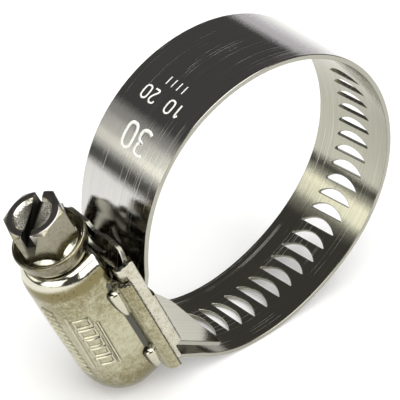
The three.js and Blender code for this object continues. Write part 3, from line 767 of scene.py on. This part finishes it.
# Painted highlight, drawn brighter and smoother, on the dish round the hexagon's foot; soil on the
# collar's rim.
mark(
    core, polish=(along > DISH_FLOOR + 0.2) & (reach < 4.8),
    soil=0.75 * (reach > 4.9) * (along < COLLAR_TOP - 0.1),
)

# %% The thread
RIDGE_X = np.array([-0.48, 0.48, 0.44, 0.25, -0.25, -0.44])
RIDGE_R = np.array([4.0, 4.0, 4.4, THREAD_RADIUS, THREAD_RADIUS, 4.4])
THREAD_STEPS, THREAD_END = 260, 0.5
slots_inside = [band_route.at(run)[0][0] for run in slot_runs if 5 < run < 28]
mesh_x = min(slots_inside, key=lambda x: abs(x - 0.2)) + 0.14 * SLOT_DEPTH
turns = np.linspace(WORM_TAIL + THREAD_END, WORM_HEAD - THREAD_END, THREAD_STEPS)[:, None]
phase = (turns - mesh_x) / SLOT_PITCH * 2 * math.pi - math.pi / 2
ridge = np.stack([
    turns + RIDGE_X, RIDGE_R * np.cos(phase), SCREW_HEIGHT + RIDGE_R * np.sin(phase),
], -1).reshape(-1, 3)
thread = mesh_object("screw_thread", ridge, outward(ridge, tube(THREAD_STEPS, len(RIDGE_X))))

# %% [markdown]
# ### The slotted hexagon
#
# A prism, turned off by a cone, with a shallow recess and a slot. Exact cuts give the right curves
# where the cone meets the flats, and a bevel breaks every edge. Its shares are painted shade in the
# slot, grain on the recess floor, worn on the top ring, a brighter recess wall, and soil.

# %% The hexagon and its cuts
HEX_FLATS, HEX_TURN, SLOT_TURN = 8.0, 44.0, 128.6
BLADE_HALF, BLADE_DEPTH, BLADE_REACH, HEX_BEVEL = 0.7, 2.3, 8 / math.sqrt(2), 0.13


def cut(target, tool, operation):
    """Cuts target with tool, which is used up."""
    change = target.modifiers.new("cut", "BOOLEAN")
    change.object, change.operation, change.solver = tool, operation, "EXACT"
    bake(target)
    bpy.data.objects.remove(tool)


def bake(target):
    """Makes an object's modifiers part of its mesh."""
    seen = target.evaluated_get(bpy.context.evaluated_depsgraph_get())
    made = bpy.data.meshes.new_from_object(seen)
    target.modifiers.clear()
    target.data = made


c, s = math.cos(math.radians(SLOT_TURN)), math.sin(math.radians(SLOT_TURN))
slot_way, slot_side = np.array([c, s]), np.array([-s, c])
corner = HEX_FLATS / math.sqrt(3)
hexagon = turned("screw_head", [(DISH_FLOOR - 0.6, corner), (HEX_TOP, corner)], 6, HEX_TURN)
cone = [(DISH_FLOOR - 1, 5.4), (HEX_TOP - 0.62, 5.0), (HEX_TOP - 0.12, 4.06), (HEX_TOP + 0.02, 3.85)]
recess = [(HEX_TOP - 0.45, 2.5), (HEX_TOP + 0.05, 2.98), (HEX_TOP + 0.5, 3.4)]
cut(hexagon, turned("cone", cone, 72), "INTERSECT")
cut(hexagon, turned("recess", recess, 72), "DIFFERENCE")
square = np.array([(1, 1), (-1, 1), (-1, -1), (1, -1)])
box_ring = square @ [BLADE_REACH * slot_way, BLADE_HALF * slot_side] + [0, SCREW_HEIGHT]
box = np.concatenate([at_x(x, box_ring) for x in (HEX_TOP - BLADE_DEPTH, HEX_TOP + 1)])
cut(hexagon, mesh_object("slot_box", box, outward(box, tube(2, 4))), "DIFFERENCE")
soften = hexagon.modifiers.new("soften", "BEVEL")
soften.width, soften.segments = HEX_BEVEL * MM, 3
soften.limit_method, soften.angle_limit = "ANGLE", math.radians(28)
bake(hexagon)
hexagon.data.shade_smooth()
hexagon.modifiers.new("weigh", "WEIGHTED_NORMAL")
bake(hexagon)
along, reach, flat = spots_of(hexagon)
in_slot = (np.abs(flat @ slot_side) < BLADE_HALF + 0.02) & (along < HEX_TOP - 0.25)
# Painted shade in the slot; the recess's sloping wall is drawn brighter and smoother.
mark(
    hexagon, grime=in_slot, worn=(along > HEX_TOP - 0.1) & (reach > 3.05),
    grain=(reach < 2.55) & (along < HEX_TOP - 0.3) & ~in_slot,
    polish=(reach > 2.5) & (reach < 3.05) & ~in_slot,
    soil=0.62 * (reach > 3.6) * (along < HEX_TOP - 0.5),
)
print("screw_head after its cuts:", len(hexagon.data.polygons), "faces")

# %% [markdown]
# ## Markings
#
# Plain numerals and short ticks on the outside of the band. Each is a pen stroke, laid on the strip
# as a thin closed ribbon of ink, because drawn strokes need no font and bend as the strip does.

# %% Numerals as strokes
DIGITS = {
    "|": [(0, 0), (0, 1)],
    "0": [(0.5, 1), (0.05, 0.9), (0, 0.5), (0.05, 0.1), (0.5, 0), (0.95, 0.1), (1, 0.5),
          (0.95, 0.9), (0.5, 1)],
    "1": [(0.15, 0.72), (0.55, 1), (0.55, 0)],
    "2": [(0, 0.78), (0.15, 1), (0.85, 1), (0.95, 0.62), (0, 0), (1, 0)],
    "3": [(0.02, 0.9), (0.3, 1), (0.95, 0.95), (0.9, 0.55), (0.35, 0.53), (1, 0.45), (0.95, 0.05),
          (0.3, 0), (0, 0.1)],
}
LETTER_PITCH, PEN_SHARE, INK_LIFT, INK_SUNK = 1.45, 0.13, 0.012, 0.05
ink_points, ink_faces = [], []


def write(text, angle, across, height, width):
    """Writes text across the strip, with its foot at a ring angle and letters of a height along the
    strip and a width across it."""
    start = band_route.near(ring_point(angle))
    for k, letter in enumerate(text):
        if letter == " ":
            continue
        path = chaikin(np.array(DIGITS[letter], float), 3, closed=False)
        off = across + (k * LETTER_PITCH + path[:, 0]) * width
        path = np.stack([start + path[:, 1] * height, off], -1)
        way = unit(np.gradient(path, axis=0))
        pen = -right_of(way) * height * PEN_SHARE / 2
        rows = np.stack([path - pen, path + pen, path + pen, path - pen], 1).reshape(-1, 2)
        middle, _, _, normal = bend_band(rows[:, 0], rows[:, 1])
        level = np.tile([INK_LIFT, INK_LIFT, -INK_SUNK, -INK_SUNK], len(path))
        stroke = middle + normal * (BAND_THICKNESS / 2 + level)[:, None]
        base = sum(len(p) for p in ink_points)
        ink_faces.extend(f + base for f in outward(stroke, tube(len(path), 4)))
        ink_points.append(stroke)


write("30", 22.0, -2.5, 4.0, 2.05)
write("10 20", 9.4, -4.4, 2.2, 1.25)
for tick in range(4):
    write("|", 3.2, -2.0 + 1.2 * tick, 1.4, 0.4)
ink = mesh_object("band_numerals", np.concatenate(ink_points), ink_faces)

# %% [markdown]
# ## Steel
#
# Each finish is procedural: noise on the object's coordinates, or on the strip's flat pattern, and
# the shares that the meshes carry. A value wraps a socket, so that shading reads as arithmetic.

# %% A value that builds shader nodes


class Value:
    """A socket of a node tree, with arithmetic."""

    def __init__(self, tree, socket):
        self.tree, self.socket = tree, socket

    def node(self, kind, settings, output, *inputs, **named):
        """Any node: its settings, the output wanted, and what goes into it."""
        made = self.tree.nodes.new(kind)
        for key, value in settings.items():
            setattr(made, key, value)
        for key, value in [*enumerate(inputs), *named.items()]:
            if isinstance(value, Value):
                self.tree.links.new(value.socket, made.inputs[key])
            elif value is not None:
                made.inputs[key].default_value = value
        return Value(self.tree, made.outputs[output])

    def math(self, operation, first, second):
        return self.node("ShaderNodeMath", {"operation": operation}, 0, first, second)

    def __add__(self, other):
        return self.math("ADD", self, other)

    def __sub__(self, other):
        return self.math("SUBTRACT", self, other)

    def __rsub__(self, other):
        return self.math("SUBTRACT", other, self)

    def __mul__(self, other):
        return self.math("MULTIPLY", self, other)

    __radd__, __rmul__ = __add__, __mul__

    def step(self, low, high, out_low=0.0, out_high=1.0):
        """A soft step from out_low below low to out_high above high."""
        settings = {"interpolation_type": "SMOOTHSTEP"}
        return self.node("ShaderNodeMapRange", settings, 0, self, low, high, out_low, out_high)

    def noise(self, scale, detail=3.0, stretch=(1, 1, 1)):
        """Noise over this vector, scaled along each axis."""
        bent = self.node("ShaderNodeVectorMath", {"operation": "MULTIPLY"}, 0, self, stretch)
        return bent.node("ShaderNodeTexNoise", {}, 0, bent, Scale=scale, Detail=detail)

    def mix(self, low, high):
        """Colour from low to high by this value, each a colour value or a plain (r, g, b)."""
        ends = [(*c, 1) if isinstance(c, tuple) else c for c in (low, high)]
        unused = [None] * 5
        return self.node("ShaderNodeMix", {"data_type": "RGBA"}, 2, self, *unused, *ends)


def shares_of(source, *keys):
    """The values of the mesh's point attributes."""
    kind = "ShaderNodeAttribute"
    return [source.node(kind, {"attribute_name": key}, 2) for key in keys]


def spot_of(source):
    """The place on the object, in its own coordinates."""
    return source.node("ShaderNodeTexCoord", {}, 3)


def shade(colour, shares):
    """A colour with each of its parts cut to a share."""
    return tuple(c * s for c, s in zip(colour, shares))


def new_material(name):
    """A material, its surface node, and a value on its tree to start from."""
    material = bpy.data.materials.new(name)
    material.use_nodes = True
    surface = material.node_tree.nodes["Principled BSDF"]
    return material, surface, Value(material.node_tree, surface.outputs[0])


def finish(name, colour, rough, look, metallic=1.0):
    """A material whose look gives its colour, roughness, height and the height's strength."""
    material, surface, source = new_material(name)
    surface.inputs["Metallic"].default_value = metallic
    tint, roughness, height, strength = look(source, colour, rough)
    bump = source.node("ShaderNodeBump", {}, 0, Strength=strength, Distance=0.0001, Height=height)
    for value, key in ((tint, "Base Color"), (roughness, "Roughness"), (bump, "Normal")):
        source.tree.links.new(value.socket, surface.inputs[key])
    return material


# %% [markdown]
# ### Band steel
#
# Bright rolled strip, with darker rims and a warmer inner face, which is also darker as painted shade
# of the shadowed floor it reflects. Noise stretched along it gives its lines, because that is how it
# was rolled, and the same noise cut off high gives single scratches.

# %% The band's look
SHADED_LINER_DARK, SHADED_LINER_LIGHT = (0.36, 0.35, 0.285), (0.49, 0.48, 0.4)
SCRATCH, SLIT_RIM = (0.8, 0.78, 0.74), (0.38, 0.372, 0.315)


def band_look(source, colour, rough):
    """Rolled strip."""
    flat = source.node("ShaderNodeUVMap", {"uv_map": "UVMap"}, 0)
    rim, face = shares_of(source, "rim", "face")
    lines = flat.noise(1.0, 4.0, (0.035, 6.0, 1))
    fine = flat.noise(1.0, 3.0, (0.12, 24.0, 1))
    long_marks = flat.noise(1.0, 1.0, (0.011, 7.0, 1)).step(0.65, 0.68)
    short_marks = flat.noise(1.0, 1.0, (0.09, 8.0, 1)).step(0.73, 0.76)
    patches = flat.noise(0.09, 2.0).step(0.42, 0.6)
    scratch = source.math("MINIMUM", long_marks + short_marks, 1.0) * patches
    streak = (fine * 0.5 + lines * 0.5).step(0.3, 0.7)
    outside = streak.mix(shade(colour, (0.86, 0.86, 0.86)), colour)
    # The inner face is warmer, and darker as painted shade of the shadowed floor that it reflects.
    tint = face.step(-0.5, 0.5).mix(streak.mix(SHADED_LINER_DARK, SHADED_LINER_LIGHT), outside)
    edge = rim.step(0.05, 0.7)
    tint = edge.mix(scratch.mix(tint, SCRATCH), SLIT_RIM)
    roughness = (lines - 0.5) * 0.08 + rough + scratch * 0.34 + edge * 0.16
    return tint, roughness, fine + lines * 0.6 + scratch, 0.05


# %% [markdown]
# ### Pressed steel
#
# Dull, slightly yellow sheet with stains, fine pits, torn cut edges and a polished neck, with painted
# shade in the creases and along the strokes' edges and painted highlights on the strokes and gussets.
# Four scales of noise make these, and the shares say where, because they follow the forms.

# %% The pressed sheet's look
STAINED, SOILED = (0.6, 0.56, 0.45), (0.4, 0.35, 0.22)
PIT, PAINTED_SHADE_TINT, POLISH_AND_HIGHLIGHT_TINT = (0.1, 0.085, 0.055), (0.085, 0.085, 0.07), (0.62, 0.6, 0.5)
TORN_DARK, TORN_BRIGHT = (0.04, 0.037, 0.03), (0.36, 0.34, 0.28)


def pressed_look(source, colour, rough):
    """Pressed sheet."""
    sheared, crease, soil, polish, rim = shares_of(source, "cut", "crease", "soil", "polish", "rim")
    spot = spot_of(source)
    stain, grain = spot.noise(340.0, 5.0), spot.noise(1400.0, 5.0)
    speck, sand = spot.noise(2600.0, 3.0), spot.noise(6500.0, 2.0)
    clean = (stain * 0.2 + grain * 0.35 + sand * 0.45 - soil * 0.09).step(0.33, 0.57)
    dirty = (soil * (2.0 - stain * 0.7 - grain * 0.9 - sand * 1.1)).step(0.15, 0.9, 0.0, 0.85)
    tint = dirty.mix(clean.mix(shade(colour, STAINED), colour), shade(colour, SOILED))
    # The polish share gives a polished neck, and painted highlights on strokes, gussets and the screw's
    # dish.
    tint = polish.mix((speck - soil * 0.035).step(0.24, 0.33).mix(PIT, tint), POLISH_AND_HIGHLIGHT_TINT)
    # Painted shade in the creases, on the gussets' upper faces and along the strokes' edges.
    tint = crease.step(0.2, 0.7).mix(tint, PAINTED_SHADE_TINT)
    torn = speck.step(0.4, 0.6).mix(TORN_DARK, TORN_BRIGHT)
    tint = source.math("MAXIMUM", sheared, rim).step(0.35, 0.9).mix(tint, torn)
    uneven = (grain - 0.5) * 0.2 + (stain - 0.5) * 0.16
    return tint, uneven + rough + sheared * 0.15 - polish * 0.08, speck * 0.5 + grain + sand * 0.4, 0.14


# %% [markdown]
# ### Screw steel and ink
#
# The screw is a shade darker than the pressed sheet, with a sandy recess, a worn top ring and painted
# shade in the slot. The ink is thin in places, so that it looks printed.

# %% The screw's and the ink's looks
SAND_DARK, SAND_BRIGHT, WORN = (0.2, 0.19, 0.15), (0.8, 0.77, 0.7), (0.4, 0.37, 0.37)
PAINTED_SLOT_SHADE, THIN_INK = (0.03, 0.028, 0.022), (0.5, 0.5, 0.47)


def screw_look(source, colour, rough):
    """The screw, as the pressed sheet with more on top."""
    tint, roughness, height, strength = pressed_look(source, colour, rough)
    grime, grain, worn = shares_of(source, "grime", "grain", "worn")
    sand = spot_of(source).noise(5200.0, 2.0)
    tint = grain.mix(worn.mix(tint, WORN), sand.step(0.4, 0.6).mix(SAND_DARK, SAND_BRIGHT))
    # Painted shade: the slot drawn nearly black.
    tint = grime.mix(tint, PAINTED_SLOT_SHADE)
    return tint, roughness + grain * 0.3 + grime * 0.3, height + sand * grain * 2.0, strength


def ink_look(source, colour, rough):
    """White marking ink, thin in places."""
    wear = spot_of(source).noise(3200.0, 3.0)
    return wear.step(0.3, 0.48).mix(THIN_INK, colour), wear * 0.2 + rough, wear, 0.1


band_steel = finish("band_steel", (0.62, 0.61, 0.59), 0.08, band_look)
housing_steel = finish("housing_steel", (0.47, 0.455, 0.33), 0.17, pressed_look)
saddle_steel = finish("saddle_steel", (0.6, 0.58, 0.49), 0.26, pressed_look)
screw_steel = finish("screw_steel", (0.29, 0.275, 0.21), 0.22, screw_look)
ink_white = finish("ink_white", (0.86, 0.86, 0.82), 0.5, ink_look, metallic=0.0)

# %% Pieces, finishes and bodies
for made, material, body, node, slot in (
    (band, band_steel, "clamp", "band", "band_steel"),
    (saddle, saddle_steel, "clamp", "saddle", "saddle_steel"),
    (housing, housing_steel, "clamp", "housing", "housing_steel"),
    (ink, ink_white, "clamp", None, "band_steel"),
    (core, screw_steel, "screw", "screw", "screw_steel"),
    (thread, screw_steel, "screw", "screw", "screw_steel"),
    (hexagon, screw_steel, "screw", "screw", "screw_steel"),
):
    made.data.materials.clear()
    made.data.materials.append(material)
    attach(made, body)
    if node:
        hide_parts(node)
    print(made.name, "rides on", body, "with", len(material.node_tree.nodes), "nodes of shading")

# %% [markdown]
# ## Studio
#
# Bright steel shows little but the room, so the room is built for its reflections: a white floor, a
# soft light overhead, two windows in front for the neck's highlights, one on each side behind the
# clamp, and a low dark strip for the table's far edge.

# %% The floor
FLOOR_REACH, FLOOR_DROP, FLOOR_WHITE, FLOOR_GLOW = 3, 0.00004, 0.82, 0.2


def stage_mesh(name, points, faces, colour, rough):
    """An object of the studio with a plain matt material."""
    mesh = bpy.data.meshes.new(name)
    mesh.from_pydata(points, [], faces)
    made = add_object(name, mesh)
    material, surface, source = new_material(name)
    surface.inputs["Base Color"].default_value = (*colour, 1)
    surface.inputs["Roughness"].default_value = rough
    mesh.materials.append(material)
    return made, surface, source


corners = [(-1, -1), (1, -1), (1, 1), (-1, 1)]
floor, paper, start = stage_mesh(
    "floor", [(FLOOR_REACH * x, FLOOR_REACH * y, 0) for x, y in corners], [(0, 1, 2, 3)],
    (FLOOR_WHITE,) * 3, 0.9,
)
floor.location.z = -FLOOR_DROP
paper.inputs["Emission Strength"].default_value = 1.0
camera_ray, glossy_ray = (
    start.node("ShaderNodeLightPath", {}, ray) for ray in ("Is Camera Ray", "Is Glossy Ray"))
seen = start.math("MINIMUM", camera_ray + glossy_ray, 1.0)
glow = seen.mix((0, 0, 0), (FLOOR_GLOW,) * 3)
glow.tree.links.new(glow.socket, paper.inputs["Emission Color"])

# %% The lights, the table's edge and the room
# Each light: azimuth from +Y towards +X and elevation, width and height in degrees as seen from the
# ring, radiance and colour.
LIGHTS = {
    "overhead": (180, 80, 62, 62, 3.2, (1, 1, 1)),
    "left_window_haze": (-50, 18, 30, 28, 0.30, (1, 0.99, 0.93)),
    "left_window": (-53, 16, 22, 20, 0.42, (1, 0.99, 0.9)),
    "left_window_core": (-59, 19, 20, 16, 1.1, (1, 1, 0.86)),
    "left_window_sill": (-45, 12, 16, 2.4, 0.6, (1, 0.9, 0.74)),
    "right_window": (52, 2, 26, 22, 0.62, (0.97, 0.94, 1.0)),
    "front_left": (-105, 20, 46, 36, 2.4, (1, 0.99, 0.94)),
    "front_right": (170, 26, 36, 36, 2.2, (1, 0.99, 0.94)),
}
LIGHT_DISTANCE, ROOM_COLOUR, ROOM_LEVEL = 1.0, (1, 0.98, 0.95, 1), 0.08
EDGE_DISTANCE, EDGE_HEIGHT, EDGE_STEPS = 0.4, 0.047, 40


def soft_light(name, azimuth, elevation, width, height, radiance, colour):
    """A rectangular light that faces the ring. Its power is radiance * pi * area."""
    a, e = math.radians(azimuth), math.radians(elevation)
    way = Vector((math.sin(a) * math.cos(e), math.cos(a) * math.cos(e), math.sin(e)))
    data = bpy.data.lights.new(name, "AREA")
    data.shape = "RECTANGLE"
    data.size = 2 * LIGHT_DISTANCE * math.tan(math.radians(width / 2))
    data.size_y = 2 * LIGHT_DISTANCE * math.tan(math.radians(height / 2))
    data.energy = radiance * math.pi * data.size * data.size_y
    data.color = colour
    lamp = add_object(name, data)
    lamp.location = Vector(CENTRE) + way * LIGHT_DISTANCE
    lamp.rotation_mode = "QUATERNION"
    lamp.rotation_quaternion = way.to_track_quat("Z", "Y")


for name, light in LIGHTS.items():
    soft_light(name, *light)
print("lights", len(LIGHTS))

# Only reflections in the steel see the table's edge.
round_table = np.radians(np.linspace(-85, 22, EDGE_STEPS))
ways = np.stack([np.sin(round_table), np.cos(round_table), 0 * round_table], -1)
edge_low = EDGE_DISTANCE * ways + [CENTRE[0], 0, 0]
table_edge, _, _ = stage_mesh(
    "table_edge", np.concatenate([edge_low, edge_low + [0, 0, EDGE_HEIGHT]]).tolist(),
    grid_faces(2, EDGE_STEPS).tolist(), (0.12, 0.12, 0.11), 1.0,
)
table_edge.visible_camera = table_edge.visible_diffuse = table_edge.visible_shadow = False

world = bpy.data.worlds.new("room")
world.use_nodes = True
background = world.node_tree.nodes["Background"]
background.inputs["Color"].default_value = ROOM_COLOUR
background.inputs["Strength"].default_value = ROOM_LEVEL
bpy.context.scene.world = world

# %% [markdown]
# ## Camera
#
# Its place, way and focal length come from a fit of the rims, the slots and the housing's edges, so
# that the render lies on the photograph.

# %% The camera
CAMERA_LENS, SENSOR_WIDTH, CLIP_START = 126.656, 36.0, 0.01
CAMERA_FROM_CENTRE = MM * Vector((-109.186, -137.360, 131.141))
CAMERA_LOOK = Vector((0.4729526, 0.6392098, -0.6064047))
CAMERA_RIGHT = Vector((0.7851578, -0.6180585, -0.0391267))
camera_data = bpy.data.cameras.new("camera")
camera_data.lens, camera_data.sensor_width = CAMERA_LENS, SENSOR_WIDTH
camera_data.clip_start = CLIP_START
camera = add_object("camera", camera_data)
turn = Matrix((CAMERA_RIGHT, CAMERA_RIGHT.cross(CAMERA_LOOK), -CAMERA_LOOK)).transposed()
camera.matrix_world = Matrix.Translation(Vector(CENTRE) + CAMERA_FROM_CENTRE) @ turn.to_4x4()
bpy.context.scene.camera = camera
bpy.context.scene.view_settings.view_transform = "Standard"
print("camera at", [round(v, 4) for v in camera.matrix_world.translation])
